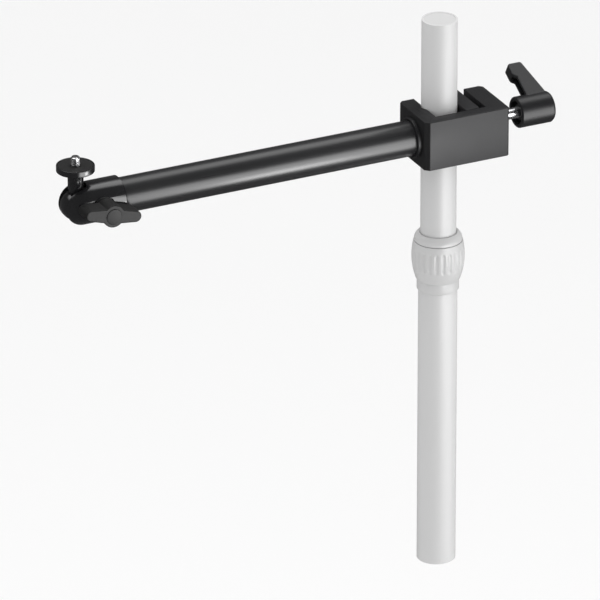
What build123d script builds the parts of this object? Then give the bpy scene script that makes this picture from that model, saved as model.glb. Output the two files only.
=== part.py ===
from build123d import *
import math
import os

os.makedirs("parts", exist_ok=True)

# Grip arm: a two-section pole, a screw clamp on it, a round arm, and a slotted ball head.
# Millimetres. Z is the pole's axis and Z = 0 its lower end. The arm runs towards -X.

# Fits
slide_gap = 0.05        # radial room of a running fit
clear_gap = 0.3         # room between pieces that move past each other

# Pole
pole_top = 418.0
upper_radius = 12.7
upper_bore = 11.2
upper_bottom = 50.0
lower_radius = 13.9
lower_bore = 12.95

# Twist collar
collar_bottom = 212.2
collar_top = 255.8
ring_height = 7.8
ring_radius = 15.0
thread_radius = 14.5
cap_height = 6.4
belly_radius = 50.0     # the grip's barrel arc, in a section through the pole's axis
belly_widest = 18.85
belly_widest_z = 237.7
flute_count = 24
flute_radius = 1.35
flute_low = 230.5
flute_high = 243.5
tube_end_in_collar = 237.0
step_depth = 0.2         # the outer tube is turned down by this inside the collar
step_z = 211.7
collet_radius = 14.4
cone_start = 242.0

# Clamp
clamp_z = 334.8
clamp_height = 36.6
clamp_left = -23.7
clamp_right = 41.6
clamp_front = -27.3
clamp_back = 16.2
front_wall = 9.0
leg_inner = 27.2
notch_half = 5.0
notch_depth = 2.3
grip_gap = 0.1          # between the jaws and the pole

# Clamp screw, M8, and its ratchet lever
screw_radius = 4.0
hub_left = 60.4
hub_right = 87.0
hub_radius = 11.2
lever_lean = 60.0       # degrees from upright, towards the back
lever_reach = 36.0
lever_thickness = 9.0
screw_tip = 16.9
screw_end = 72.0
screw_head = 4.7        # radius of the lever screw's head
pivot_radius = 2.5
neck_radius = 3.0
clip_left = 24.45
clip_right = 25.55
clip_radius = 5.2

# Arm
arm_y = -6.8
arm_radius = 12.7
arm_bore = 11.2
flange_radius = 14.6
flange_width = 3.0
arm_end = -249.9
bolt_radius = 3.0
bolt_seat = clamp_left + 5.8
spigot_radius = 7.0
groove_radius = 6.2
groove_left = -258.8
groove_right = -257.6

# Ball head
ball_x = -282.7
ball_radius = 11.0
head_radius = 14.8
end_centre = ball_x + 1.5   # centre of the housing's rounded end
spot_radius = 8.7        # flat milled for the knob's base disc
spot_y = -13.4
head_bore = 11.1
slot_half = 6.7
slot_end = -275.2
knob_x = -267.7
seat_left = -275.0
seat_right = -262.5
bush_radius = 4.5
platform_rise = 29.7
platform_radius = 13.4
platform_thickness = 4.2
pad_radius = 12.2
pad_depth = 1.2
stud_shank = 2.9
stud_relief = 0.5       # height of the plain neck above the platform
stud_radius = 3.175
stud_length = 6.5
tenon_radius = 3.0
tenon_low = -4.0
stud_root = 2.0
stud_end = 12.0
knob_front = -30.5
knob_back = -13.7
wing_screw_radius = 3.0
wing_screw_front = -28.0
wing_half = 21.2
wing_turn = 11.4        # degrees about the knob's axis

# Worked out from the above
clamp_low = clamp_z - clamp_height / 2
throat_front = clamp_front + front_wall
jaw_contact = math.sqrt(upper_radius ** 2 - notch_half ** 2)
left_jaw_face = -(jaw_contact + grip_gap)
head_right = arm_end - 0.9
platform_under = platform_rise - platform_thickness
FROM_END = (Align.CENTER, Align.CENTER, Align.MIN)


def bar(start, end, radius):
    """Round bar from one point to another."""
    run = Vector(*end) - Vector(*start)
    return Plane(origin=start, z_dir=run) * Cylinder(radius, run.length, align=FROM_END)


def block(low, high):
    """Box between two opposite corners."""
    size = Vector(*high) - Vector(*low)
    return Pos(*low) * Box(size.X, size.Y, size.Z, align=(Align.MIN, Align.MIN, Align.MIN))


def turned_z(points):
    """Solid turned about the pole's axis from (radius, z) points."""
    outline = Polyline([(r, 0, z) for r, z in points], close=True)
    return revolve(make_face(outline), Axis.Z)


def turned_x(points, y=arm_y, z=clamp_z):
    """Solid turned about an axis along X from (x, radius) points."""
    outline = Polyline([(x, 0, r) for x, r in points], close=True)
    return Pos(0, y, z) * revolve(make_face(outline), Axis.X)


def turned_y(points, x, y=arm_y, z=clamp_z):
    """Solid turned about an axis along Y from (y, radius) points, y measured from the arm's axis."""
    outline = Polyline([(r, depth, 0) for depth, r in points], close=True)
    return Pos(x, y, z) * revolve(make_face(outline), Axis.Y)


def ring_points(start, end, inner, outer):
    """Section of a plain ring, as (place, radius) points."""
    return [(start, inner), (end, inner), (end, outer), (start, outer)]


# ---- Pole --------------------------------------------------------------------------


def lower_tube():
    """Outer tube of the pole, drawn aluminium."""
    edge = 0.4
    step_radius = lower_radius - step_depth
    points = [(lower_bore, 0), (lower_radius - edge, 0), (lower_radius, edge)]
    points += [(lower_radius, step_z), (step_radius, step_z)]
    points += [(step_radius, tube_end_in_collar), (lower_bore, tube_end_in_collar)]
    return turned_z(points)


def foot_plug():
    """Moulded plug that closes the outer tube's lower end, set just inside it."""
    top = 12.0
    web = 3.0
    wall = 2.0
    points = [(0, 0.6), (lower_bore, 0.6), (lower_bore, top), (lower_bore - wall, top)]
    points += [(lower_bore - wall, web), (0, web)]
    return turned_z(points)


def collar_body():
    """Threaded sleeve fixed on the outer tube, with the plain ring under the grip."""
    edge = 0.6
    bore = lower_radius - step_depth
    ring_top = collar_bottom + ring_height
    points = [(bore, collar_bottom), (ring_radius - edge, collar_bottom)]
    points += [(ring_radius, collar_bottom + edge), (ring_radius, ring_top)]
    points += [(thread_radius, ring_top), (thread_radius, tube_end_in_collar)]
    points += [(bore, tube_end_in_collar)]
    return turned_z(points)


def collet():
    """Split nylon sleeve that the grip's cone squeezes on the inner tube."""
    inner = upper_radius + slide_gap
    tip = 13.3
    top = cone_start + 6.5
    slit = 1.5
    points = [(inner, tube_end_in_collar), (collet_radius, tube_end_in_collar)]
    points += [(collet_radius, cone_start), (tip, top), (inner, top)]
    slot = block((0, -slit / 2, tube_end_in_collar - 1), (collet_radius + 1, slit / 2, top + 1))
    return turned_z(points) - slot


def lock_grip():
    """Barrel grip of the collar, with flutes round its belly."""
    low = collar_bottom + ring_height + clear_gap
    high = collar_top - cap_height
    centre = belly_widest - belly_radius
    low_edge = centre + math.sqrt(belly_radius ** 2 - (low - belly_widest_z) ** 2)
    high_edge = centre + math.sqrt(belly_radius ** 2 - (high - belly_widest_z) ** 2)
    thread_bore = thread_radius + slide_gap
    collet_bore = collet_radius + 0.35
    tip_bore = 13.65
    belly = ThreePointArc((low_edge, 0, low), (belly_widest, 0, belly_widest_z), (high_edge, 0, high))
    inside = [(high_edge, high), (tip_bore, high), (collet_bore, cone_start)]
    inside += [(collet_bore, tube_end_in_collar), (thread_bore, tube_end_in_collar)]
    inside += [(thread_bore, low), (low_edge, low)]
    edges = Polyline([(r, 0, z) for r, z in inside])
    grip = revolve(make_face([belly, edges]), Axis.Z)
    flute_centre = belly_widest + 0.75
    flute = Pos(flute_centre, 0, flute_low) * Cylinder(
        flute_radius, flute_high - flute_low, align=FROM_END)
    flute += Pos(flute_centre, 0, flute_low) * Sphere(flute_radius)
    flute += Pos(flute_centre, 0, flute_high) * Sphere(flute_radius)
    for turn in range(flute_count):
        grip -= Rot(0, 0, turn * 360 / flute_count) * flute
    return grip


def grip_cap_ring():
    """Smooth tapered ring pressed on the grip's top."""
    low = collar_top - cap_height
    bore = upper_radius + clear_gap
    seat = 16.2
    groove = 0.6
    rim = 0.7
    widest = 17.1
    shoulder = 16.0
    top_radius = 13.9
    points = [(bore, low), (seat, low), (seat, low + groove), (widest, low + groove)]
    points += [(widest, low + groove + rim), (shoulder, collar_top - 2.0)]
    points += [(top_radius, collar_top), (bore, collar_top)]
    return turned_z(points)


def guide_plug():
    """Nylon guide on the inner tube's lower end, which keeps it centred in the outer tube."""
    head_low = 42.0
    head_high = upper_bottom - clear_gap
    spigot_top = 64.0
    bore = 8.0
    head = lower_bore - slide_gap
    spigot = upper_bore - slide_gap
    edge = 0.5
    points = [(bore, head_low), (head - edge, head_low), (head, head_low + edge), (head, head_high)]
    points += [(spigot, head_high), (spigot, spigot_top), (bore, spigot_top)]
    return turned_z(points)


def upper_tube():
    """Inner tube of the pole."""
    edge = 0.3
    points = [(upper_bore, upper_bottom), (upper_radius, upper_bottom)]
    points += [(upper_radius, pole_top - edge), (upper_radius - edge, pole_top)]
    points += [(upper_bore, pole_top)]
    return turned_z(points)


def top_plug():
    """Moulded plug that closes the inner tube's top end."""
    high = pole_top - 0.4
    low = pole_top - 10.0
    web = 2.5
    wall = 1.5
    points = [(0, high), (upper_bore, high), (upper_bore, low), (upper_bore - wall, low)]
    points += [(upper_bore - wall, high - web), (0, high - web)]
    return turned_z(points)


# ---- Clamp --------------------------------------------------------------------------


def clamp_body():
    """Machined C of the clamp: a front wall, a left leg with the fixed jaw, and a right leg."""
    side_chamfer = 3.2
    leg_chamfer = 2.4
    right_chamfer = 1.2
    edge = 0.5
    outline = [(clamp_left + side_chamfer, clamp_front), (clamp_right - right_chamfer, clamp_front)]
    outline += [(clamp_right, clamp_front + right_chamfer), (clamp_right, clamp_back - leg_chamfer)]
    outline += [(clamp_right - leg_chamfer, clamp_back), (leg_inner, clamp_back)]
    outline += [(leg_inner, throat_front), (left_jaw_face, throat_front)]
    outline += [(left_jaw_face, -notch_half), (left_jaw_face - notch_depth, 0)]
    outline += [(left_jaw_face, notch_half), (left_jaw_face, clamp_back)]
    outline += [(clamp_left + leg_chamfer, clamp_back), (clamp_left, clamp_back - leg_chamfer)]
    outline += [(clamp_left, clamp_front + side_chamfer)]
    face = make_face(Polyline([(x, y) for x, y in outline], close=True))
    body = Pos(0, 0, clamp_low) * extrude(face, clamp_height)
    rims = body.faces().sort_by(Axis.Z)[0].edges() + body.faces().sort_by(Axis.Z)[-1].edges()
    body = chamfer(rims, edge)
    screw_bore = screw_radius + slide_gap
    body -= bar((leg_inner - 1, 0, clamp_z), (clamp_right + 1, 0, clamp_z), screw_bore)
    recess_depth = 6.0
    boss_recess = 6.5
    body -= bar((leg_inner - 1, 0, clamp_z), (leg_inner + recess_depth, 0, clamp_z), boss_recess)
    head_room = 5.4
    body -= bar((bolt_seat, arm_y, clamp_z), (left_jaw_face + 1, arm_y, clamp_z), head_room)
    body -= bar((clamp_left - 1, arm_y, clamp_z), (bolt_seat, arm_y, clamp_z), bolt_radius)
    return body


def moving_jaw():
    """Sliding jaw, with a shallow vee for the pole and a boss round the screw's tip."""
    vee_half = 4.2
    face_x = math.sqrt(upper_radius ** 2 - vee_half ** 2) + grip_gap
    vee_depth = 1.7
    back_x = 22.8
    front = throat_front + clear_gap
    back = 17.6
    corner = 1.0
    edge = 0.4
    outline = [(face_x, front), (back_x - corner, front), (back_x, front + corner)]
    outline += [(back_x, back - corner), (back_x - corner, back), (face_x, back)]
    outline += [(face_x, vee_half), (face_x + vee_depth, 0), (face_x, -vee_half)]
    face = make_face(Polyline([(x, y) for x, y in outline], close=True))
    jaw = Pos(0, 0, clamp_low) * extrude(face, clamp_height)
    rims = jaw.faces().sort_by(Axis.Z)[0].edges() + jaw.faces().sort_by(Axis.Z)[-1].edges()
    jaw = chamfer(rims, edge)
    boss_end = 27.8
    boss_radius = 6.2
    blind_end = screw_tip - 0.5
    jaw += bar((back_x, 0, clamp_z), (boss_end, 0, clamp_z), boss_radius)
    jaw -= bar((blind_end, 0, clamp_z), (boss_end + 1, 0, clamp_z), screw_radius + slide_gap)
    jaw -= bar((clip_left - slide_gap, 0, clamp_z), (clip_right + slide_gap, 0, clamp_z), clip_radius)
    return jaw


def jaw_clip():
    """Split retaining ring that ties the screw's tip to the jaw."""
    split_half = 1.2
    clip = bar((clip_left, 0, clamp_z), (clip_right, 0, clamp_z), clip_radius)
    clip -= bar((clip_left - 1, 0, clamp_z), (clip_right + 1, 0, clamp_z), neck_radius + slide_gap)
    return clip - block((clip_left - 1, -split_half, clamp_z),
                        (clip_right + 1, split_half, clamp_z + clip_radius + 1))


def clamp_screw():
    """M8 screw from the jaw's boss to the lever, with a neck for the retaining ring."""
    bevel = 1.0
    bore_start = 62.0
    neck_left = clip_left - 0.25
    neck_right = clip_right + 0.25
    points = [(screw_tip, 0), (screw_tip, screw_radius - bevel), (screw_tip + bevel, screw_radius)]
    points += [(neck_left, screw_radius), (neck_left, neck_radius), (neck_right, neck_radius)]
    points += [(neck_right, screw_radius), (screw_end, screw_radius), (screw_end, pivot_radius)]
    points += [(bore_start, pivot_radius), (bore_start, 0)]
    return turned_x(points, y=0)


def lever_insert():
    """Steel insert fixed on the screw, with teeth that the lever's hub engages."""
    start = 62.6
    tip_radius = 5.8
    tooth_count = 24
    gap_radius = 0.5
    gap_centre = tip_radius + 0.2
    insert = turned_x(ring_points(start, screw_end, screw_radius, tip_radius), y=0)
    gap = bar((start - 1, 0, gap_centre), (screw_end + 1, 0, gap_centre), gap_radius)
    for turn in range(tooth_count):
        insert -= Pos(0, 0, clamp_z) * Rot(turn * 360 / tooth_count, 0, 0) * gap
    return insert


def lever_spring():
    """Compression spring that keeps the lever's hub on the teeth."""
    wire = 0.4
    coil_radius = 3.9
    start = 75.7
    end = 83.6
    turns = 5
    path = Helix(pitch=(end - start) / turns, height=end - start, radius=coil_radius)
    section = Plane(origin=path @ 0, z_dir=path % 0) * Circle(wire)
    coil = sweep(section, path=path, is_frenet=True)
    return Pos(start, 0, clamp_z) * Rot(0, 90, 0) * coil


def lever_screw():
    """Domed screw that holds the lever and its spring on the clamp screw."""
    tip = 63.0
    head_left = 84.1
    head_right = 88.1
    socket = 1.6
    points = [(tip, 0), (tip, pivot_radius), (head_left, pivot_radius), (head_left, screw_head)]
    points += [(head_right - 1.5, screw_head), (head_right - 0.5, 3.6), (head_right, socket)]
    points += [(head_right, 0)]
    screw = turned_x(points, y=0)
    face = Plane(origin=(head_right, 0, clamp_z), x_dir=(0, 1, 0), z_dir=(1, 0, 0))
    return screw - extrude(face * RegularPolygon(socket, 6), -2.0)


def lever_handle():
    """Die-cast clamping lever: a round hub, a tapering channel arm, and a thicker end."""
    mouth = 8.6
    mouth_end = 66.0
    tooth_bore = 6.1
    web_left = 72.4
    web_right = 75.2
    spring_bore = 5.0
    pivot_bore = pivot_radius + slide_gap
    hub = [(hub_left, mouth), (hub_left, hub_radius - 0.8), (hub_left + 0.8, hub_radius)]
    hub += [(hub_right - 1.6, hub_radius), (hub_right, hub_radius - 1.2), (hub_right, spring_bore)]
    hub += [(web_right, spring_bore), (web_right, pivot_bore), (web_left, pivot_bore)]
    hub += [(web_left, tooth_bore), (mouth_end, tooth_bore), (mouth_end, mouth)]
    ring = turned_x(hub, y=0)
    base = 5.0
    tip_right = 77.8
    rounding = 0.7
    neck_left = 69.6
    end_left = 66.8
    end_start = 24.5
    outline = [(neck_left, base), (hub_right - 2.0, base), (hub_right - 2.5, 8.5)]
    outline += [(tip_right, lever_reach - 0.6), (tip_right - 1.4, lever_reach)]
    outline += [(end_left + 1.4, lever_reach)]
    outline += [(end_left, lever_reach - 1.4), (end_left, end_start + 1.5)]
    outline += [(end_left + 1.2, end_start), (neck_left, end_start - 1.0)]
    plan = make_face(Polyline([(x, a) for x, a in outline], close=True))
    arm = extrude(plan, lever_thickness)
    flat_edges = arm.edges().filter_by(lambda e: abs(e.tangent_at(0).Z) < 0.01 and e.center().Y > 8)
    arm = chamfer(flat_edges, rounding)
    pocket_depth = 7.5
    pocket_end = 26.5
    flange = 2.0
    arm -= block((neck_left - 1, base, flange),
                 (neck_left + pocket_depth, pocket_end, lever_thickness - flange))
    lean = Plane(
        origin=(0, 0, clamp_z),
        x_dir=(1, 0, 0),
        z_dir=(0, -math.cos(math.radians(lever_lean)), math.sin(math.radians(lever_lean))),
    )
    placed = lean * arm
    placed -= bar((hub_left - 1, 0, clamp_z), (hub_right + 2, 0, clamp_z), hub_radius - 0.8)
    return ring + placed


# ---- Arm --------------------------------------------------------------------------


def arm_tube():
    """Round tube of the arm."""
    edge = 0.6
    points = [(clamp_left, arm_bore), (clamp_left, arm_radius), (arm_end + edge, arm_radius)]
    points += [(arm_end, arm_radius - edge), (arm_end, arm_bore)]
    return turned_x(points)


def arm_flange():
    """Collar round the arm's root, flat on the clamp's left face."""
    edge = 0.5
    end = clamp_left - flange_width
    points = [(clamp_left, arm_radius), (clamp_left, flange_radius), (end + edge, flange_radius)]
    points += [(end, flange_radius - edge), (end, arm_radius)]
    return turned_x(points)


def arm_root_plug():
    """Threaded plug fixed inside the arm's root."""
    length = 24.0
    return turned_x(ring_points(clamp_left - length, clamp_left, bolt_radius, arm_bore))


def arm_root_bolt():
    """M6 socket bolt through the left leg into the root plug."""
    tip = -44.0
    head = 5.0
    head_end = bolt_seat + 3.6
    points = [(tip, 0), (tip, bolt_radius), (bolt_seat, bolt_radius), (bolt_seat, head)]
    points += [(head_end, head), (head_end, 0)]
    bolt = turned_x(points)
    face = Plane(origin=(head_end, arm_y, clamp_z), x_dir=(0, 1, 0), z_dir=(1, 0, 0))
    return bolt - extrude(face * RegularPolygon(2.3, 6), -2.2)


def arm_end_plug():
    """Plug fixed in the arm's far end, with the spigot that the head turns on."""
    inside = arm_end + 20.0
    tip = -261.0
    edge = 0.6
    points = [(inside, 0), (inside, arm_bore), (arm_end, arm_bore), (arm_end, spigot_radius)]
    points += [(groove_right, spigot_radius), (groove_right, groove_radius)]
    points += [(groove_left, groove_radius), (groove_left, spigot_radius)]
    points += [(tip + edge, spigot_radius), (tip, spigot_radius - edge), (tip, 0)]
    return turned_x(points)


def spigot_washer():
    """Thin black acetal washer between the arm's end and the head."""
    thickness = 0.6
    return turned_x(ring_points(arm_end - thickness, arm_end, spigot_radius, 11.9))


def spigot_clip():
    """Split retaining ring in the spigot's groove."""
    outer = 9.4
    split_half = 2.0
    clip = turned_x(ring_points(groove_left + slide_gap, groove_right - slide_gap, groove_radius, outer))
    return clip - block((groove_left, arm_y - split_half, clamp_z - outer - 1),
                        (groove_right, arm_y + split_half, clamp_z))


# ---- Ball head --------------------------------------------------------------------------


def head_housing():
    """Turned housing with a rounded end, bored from the arm's side, with a slot for the stem."""
    edge = 0.8
    shell = turned_x([(end_centre, 0), (end_centre, head_radius), (head_right - edge, head_radius),
                      (head_right, head_radius - edge), (head_right, 0)])
    shell += Pos(end_centre, arm_y, clamp_z) * Sphere(head_radius)
    shell -= bar((ball_x, arm_y, clamp_z), (head_right + 1, arm_y, clamp_z), head_bore)
    shell -= Pos(ball_x, arm_y, clamp_z) * Sphere(head_bore)
    slot_centre = slot_end - slot_half
    tall = 2 * head_radius + 4
    slot = Pos(slot_centre, arm_y, clamp_z) * Cylinder(slot_half, tall)
    slot += block((ball_x - 20, arm_y - slot_half, clamp_z - tall / 2),
                  (slot_centre, arm_y + slot_half, clamp_z + tall / 2))
    shell -= slot
    shell -= bar((knob_x, arm_y - 20, clamp_z), (knob_x, arm_y + spot_y, clamp_z), spot_radius)
    return shell - bar((knob_x, arm_y - 20, clamp_z), (knob_x, arm_y, clamp_z), bush_radius)


def head_rear_plug():
    """Threaded ring that closes the housing and turns on the arm's spigot."""
    inner_end = groove_right + 0.4
    return turned_x(ring_points(inner_end, head_right, spigot_radius + slide_gap, head_bore))


def ball_seat():
    """Nylon seat ring that the wing screw pushes on the ball."""
    inner = 6.5
    outer = head_bore - slide_gap
    cup_outer = math.sqrt(head_bore ** 2 - (seat_left - ball_x) ** 2)
    cup_inner = ball_x + math.sqrt(head_bore ** 2 - inner ** 2)
    middle = math.radians(41)
    cup = ThreePointArc(
        (cup_inner, 0, inner),
        (ball_x + head_bore * math.cos(middle), 0, head_bore * math.sin(middle)),
        (seat_left, 0, cup_outer),
    )
    walls = Polyline((seat_left, 0, cup_outer), (seat_left, 0, outer), (seat_right, 0, outer),
                     (seat_right, 0, inner), (cup_inner, 0, inner))
    seat = Pos(0, arm_y, clamp_z) * revolve(make_face([cup, walls]), Axis.X)
    seat -= bar((knob_x, arm_y, clamp_z), (knob_x, arm_y + 20, clamp_z), wing_screw_radius + clear_gap)
    return seat - bar((knob_x, arm_y - 20, clamp_z), (knob_x, arm_y, clamp_z), bush_radius + clear_gap)


def knob_bush():
    """Threaded brass bush pressed in the housing's front wall."""
    front = arm_y - 13.3
    back = arm_y - 8.5
    bush = bar((knob_x, front, clamp_z), (knob_x, back, clamp_z), bush_radius)
    bore = wing_screw_radius + slide_gap
    return bush - bar((knob_x, front - 1, clamp_z), (knob_x, back + 1, clamp_z), bore)


def wing_screw():
    """M6 steel screw of the wing knob, with a cone that wedges the seat."""
    cone_start = 7.0
    cone_end = 9.6
    points = [(wing_screw_front, 0), (wing_screw_front, wing_screw_radius)]
    points += [(cone_start, wing_screw_radius), (cone_end, 1.4), (cone_end, 0)]
    return turned_y(points, knob_x)


def wing_knob():
    """Moulded wing knob: a base disc, a round hub and two wings that taper to round tips."""
    hub_radius = 8.0
    groove_radius = 7.4
    disc_radius = 8.2
    disc_front = -15.0
    points = [(knob_front, 0), (knob_front, groove_radius), (knob_front + 0.8, hub_radius)]
    points += [(disc_front - 0.8, hub_radius), (disc_front - 0.8, groove_radius)]
    points += [(disc_front, groove_radius), (disc_front, disc_radius), (knob_back, disc_radius)]
    points += [(knob_back, wing_screw_radius), (wing_screw_front, wing_screw_radius)]
    points += [(wing_screw_front, 0)]
    hub = turned_y(points, knob_x)
    tip = 4.1
    root = 5.6
    wing_back = -16.4
    reach = wing_half - tip
    corners = [(-reach, -tip), (0, -root), (reach, -tip), (reach, tip), (0, root), (-reach, tip)]
    plan = make_face(Polyline(corners, close=True))
    plan += Pos(reach, 0) * Circle(tip)
    plan += Pos(-reach, 0) * Circle(tip)
    wings = extrude(Plane.XZ * plan, wing_back - knob_front)
    wings = chamfer(wings.faces().sort_by(Axis.Y)[0].edges(), 0.8)
    wings = Pos(knob_x, arm_y + wing_back, clamp_z) * Rot(0, wing_turn, 0) * wings
    wings -= bar((knob_x, arm_y + knob_front - 1, clamp_z), (knob_x, arm_y + knob_back, clamp_z),
                 hub_radius - 1)
    return hub + wings


def knob_cap():
    """Round cap in the knob's front face."""
    radius = 5.6
    proud = 0.5
    points = [(knob_front - proud, 0), (knob_front - proud, radius - proud)]
    points += [(knob_front, radius), (knob_front, 0)]
    return turned_y(points, knob_x)


def ball():
    """Polished ball, flattened where the stem leaves it and bored for the stem's tenon."""
    sphere = Pos(ball_x, arm_y, clamp_z) * Sphere(ball_radius)
    flat = clamp_z + 9.2
    reach = ball_radius + 1
    top = clamp_z + reach
    sphere -= block((ball_x - reach, arm_y - reach, flat), (ball_x + reach, arm_y + reach, top))
    bore_low = clamp_z + tenon_low - clear_gap
    return sphere - bar((ball_x, arm_y, bore_low), (ball_x, arm_y, top), tenon_radius + slide_gap)


def turned_on_stem(points):
    """Solid turned about the stem's upright axis, z measured from the ball's centre."""
    outline = Polyline([(r, 0, z) for r, z in points], close=True)
    return Pos(ball_x, arm_y, clamp_z) * revolve(make_face(outline), Axis.Z)


def stem():
    """Stem from the ball to the platform, flared at its top."""
    low = 9.5
    radius = 5.5
    edge = 0.3
    flare_start = 19.0
    flare = 6.3
    points = [(0, tenon_low), (tenon_radius, tenon_low), (tenon_radius, low), (radius - edge, low)]
    points += [(radius, low + edge), (radius, flare_start), (flare, platform_under)]
    points += [(stud_root, platform_under), (stud_root, stud_end), (0, stud_end)]
    return turned_on_stem(points)


def platform():
    """Round platform with a raised rim round its pad."""
    top = platform_rise
    pad_floor = top - pad_depth
    edge = 0.5
    points = [(stud_shank, platform_under), (platform_radius - edge, platform_under)]
    points += [(platform_radius, platform_under + edge), (platform_radius, top - edge)]
    points += [(platform_radius - edge, top), (pad_radius, top), (pad_radius, pad_floor)]
    points += [(stud_shank, pad_floor)]
    return turned_on_stem(points)


def platform_pad():
    """Rubber pad set in the platform's rim."""
    low = platform_rise - pad_depth
    hole = stud_radius + clear_gap
    edge = 0.3
    points = [(hole, low), (pad_radius, low), (pad_radius, platform_rise - edge)]
    points += [(pad_radius - edge, platform_rise), (hole, platform_rise)]
    return turned_on_stem(points)


def camera_stud():
    """1/4 inch stud through the platform, screwed in the stem."""
    top = platform_rise + stud_length
    neck_top = platform_rise + stud_relief
    tip = 0.7
    points = [(0, stud_end), (stud_root, stud_end), (stud_root, platform_under)]
    points += [(stud_shank, platform_under), (stud_shank, neck_top), (stud_radius, neck_top)]
    points += [(stud_radius, top - tip), (stud_radius - tip, top), (0, top)]
    return turned_on_stem(points)


NODES = [
    lower_tube, foot_plug, collar_body, collet, lock_grip, grip_cap_ring, guide_plug, upper_tube,
    top_plug, clamp_body, moving_jaw, jaw_clip, clamp_screw, lever_insert, lever_spring, lever_screw,
    lever_handle, arm_tube, arm_flange, arm_root_plug, arm_root_bolt, arm_end_plug, spigot_washer,
    spigot_clip, head_housing, head_rear_plug, ball_seat, knob_bush, wing_screw, wing_knob, knob_cap,
    ball, stem, platform, platform_pad, camera_stud,
]

for make in NODES:
    piece = make()
    print(make.__name__, len(piece.solids()), round(piece.volume, 1))
    export_step(piece, "parts/" + make.__name__ + ".step")
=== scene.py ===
import math

import bmesh
import bpy
from mathutils import Matrix, Vector


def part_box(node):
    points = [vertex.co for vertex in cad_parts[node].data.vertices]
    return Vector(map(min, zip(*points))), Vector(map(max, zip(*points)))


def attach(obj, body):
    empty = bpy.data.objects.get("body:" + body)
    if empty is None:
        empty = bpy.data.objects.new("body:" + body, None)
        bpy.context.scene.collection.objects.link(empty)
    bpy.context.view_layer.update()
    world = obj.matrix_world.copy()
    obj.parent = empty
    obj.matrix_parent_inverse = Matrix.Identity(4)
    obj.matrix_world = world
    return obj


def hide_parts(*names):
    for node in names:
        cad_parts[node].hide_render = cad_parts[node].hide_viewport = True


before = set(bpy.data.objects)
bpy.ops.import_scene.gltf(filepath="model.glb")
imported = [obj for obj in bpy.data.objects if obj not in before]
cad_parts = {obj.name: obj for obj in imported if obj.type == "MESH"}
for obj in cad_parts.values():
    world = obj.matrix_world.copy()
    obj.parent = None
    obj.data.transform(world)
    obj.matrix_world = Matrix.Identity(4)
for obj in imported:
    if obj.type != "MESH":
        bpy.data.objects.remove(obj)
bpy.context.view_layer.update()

# ---- View, floor and light ------------------------------------------------------------
# The camera stands well back with a long lens, left of the arm's front and above it.
# The floor lies far below the pole's open foot, as it does under a stand's socket.
mm = 0.001
view_turn = math.radians(-25.9)
view_rise = math.radians(25.0)
view_distance = 6.45
view_centre = Vector((-111.1, -6.14, 227.03)) * mm
to_camera = Vector((
    math.sin(view_turn) * math.cos(view_rise),
    -math.cos(view_turn) * math.cos(view_rise),
    math.sin(view_rise),
))
lens = bpy.data.cameras.new("camera")
lens.sensor_width = 36.0
lens.lens = 553.1
lens.clip_end = 60.0
camera = bpy.data.objects.new("camera", lens)
camera.location = view_centre + to_camera * view_distance
camera.rotation_euler = to_camera.to_track_quat("Z", "Y").to_euler()
bpy.context.collection.objects.link(camera)
bpy.context.scene.camera = camera
bpy.context.scene.view_settings.view_transform = "Standard"


def soft_light(name, place, target, width, height, power):
    """A rectangle of soft light that faces a point."""
    panel = bpy.data.lights.new(name, "AREA")
    panel.shape = "RECTANGLE"
    panel.size = width
    panel.size_y = height
    panel.energy = power
    lamp = bpy.data.objects.new(name, panel)
    lamp.location = place
    lamp.rotation_euler = (Vector(place) - Vector(target)).to_track_quat("Z", "Y").to_euler()
    lamp.visible_camera = False
    bpy.context.collection.objects.link(lamp)
    return lamp


overhead = soft_light("overhead_light", (0.35, 0.30, 1.75), (-0.12, 0, 0.3), 1.2, 0.8, 10)
overhead.visible_glossy = False
side = soft_light("side_light", (1.2, -1.1, 0.25), (-0.12, 0, 0.25), 0.9, 0.9, 7)
side.visible_glossy = False
gleam = soft_light("plate_gleam", (0.03, -0.33, 0.19), (-0.01, -0.027, 0.335), 0.16, 0.12, 0.6)
gleam.visible_diffuse = False

world = bpy.data.worlds.new("studio")
bpy.context.scene.world = world
world.use_nodes = True
sky = world.node_tree
direction = sky.nodes.new("ShaderNodeTexCoord").outputs["Generated"]
axes = sky.nodes.new("ShaderNodeSeparateXYZ")
sky.links.new(direction, axes.inputs[0])


def joined(operation, first, second):
    """A sum or product of two world values."""
    made = sky.nodes.new("ShaderNodeMath")
    made.operation = operation
    for socket, value in ((0, first), (1, second)):
        if isinstance(value, float):
            made.inputs[socket].default_value = value
        else:
            sky.links.new(value, made.inputs[socket])
    return made.outputs[0]


def panel_glow(edges):
    """A smooth panel of light seen in reflections, by (axis, start, end) of each soft edge."""
    glow = None
    for axis, start, end in edges:
        edge = sky.nodes.new("ShaderNodeMapRange")
        edge.interpolation_type = "SMOOTHSTEP"
        sky.links.new(axes.outputs[axis], edge.inputs["Value"])
        edge.inputs["From Min"].default_value = start
        edge.inputs["From Max"].default_value = end
        glow = edge.outputs["Result"] if glow is None else joined("MULTIPLY", glow, edge.outputs["Result"])
    return glow


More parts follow.
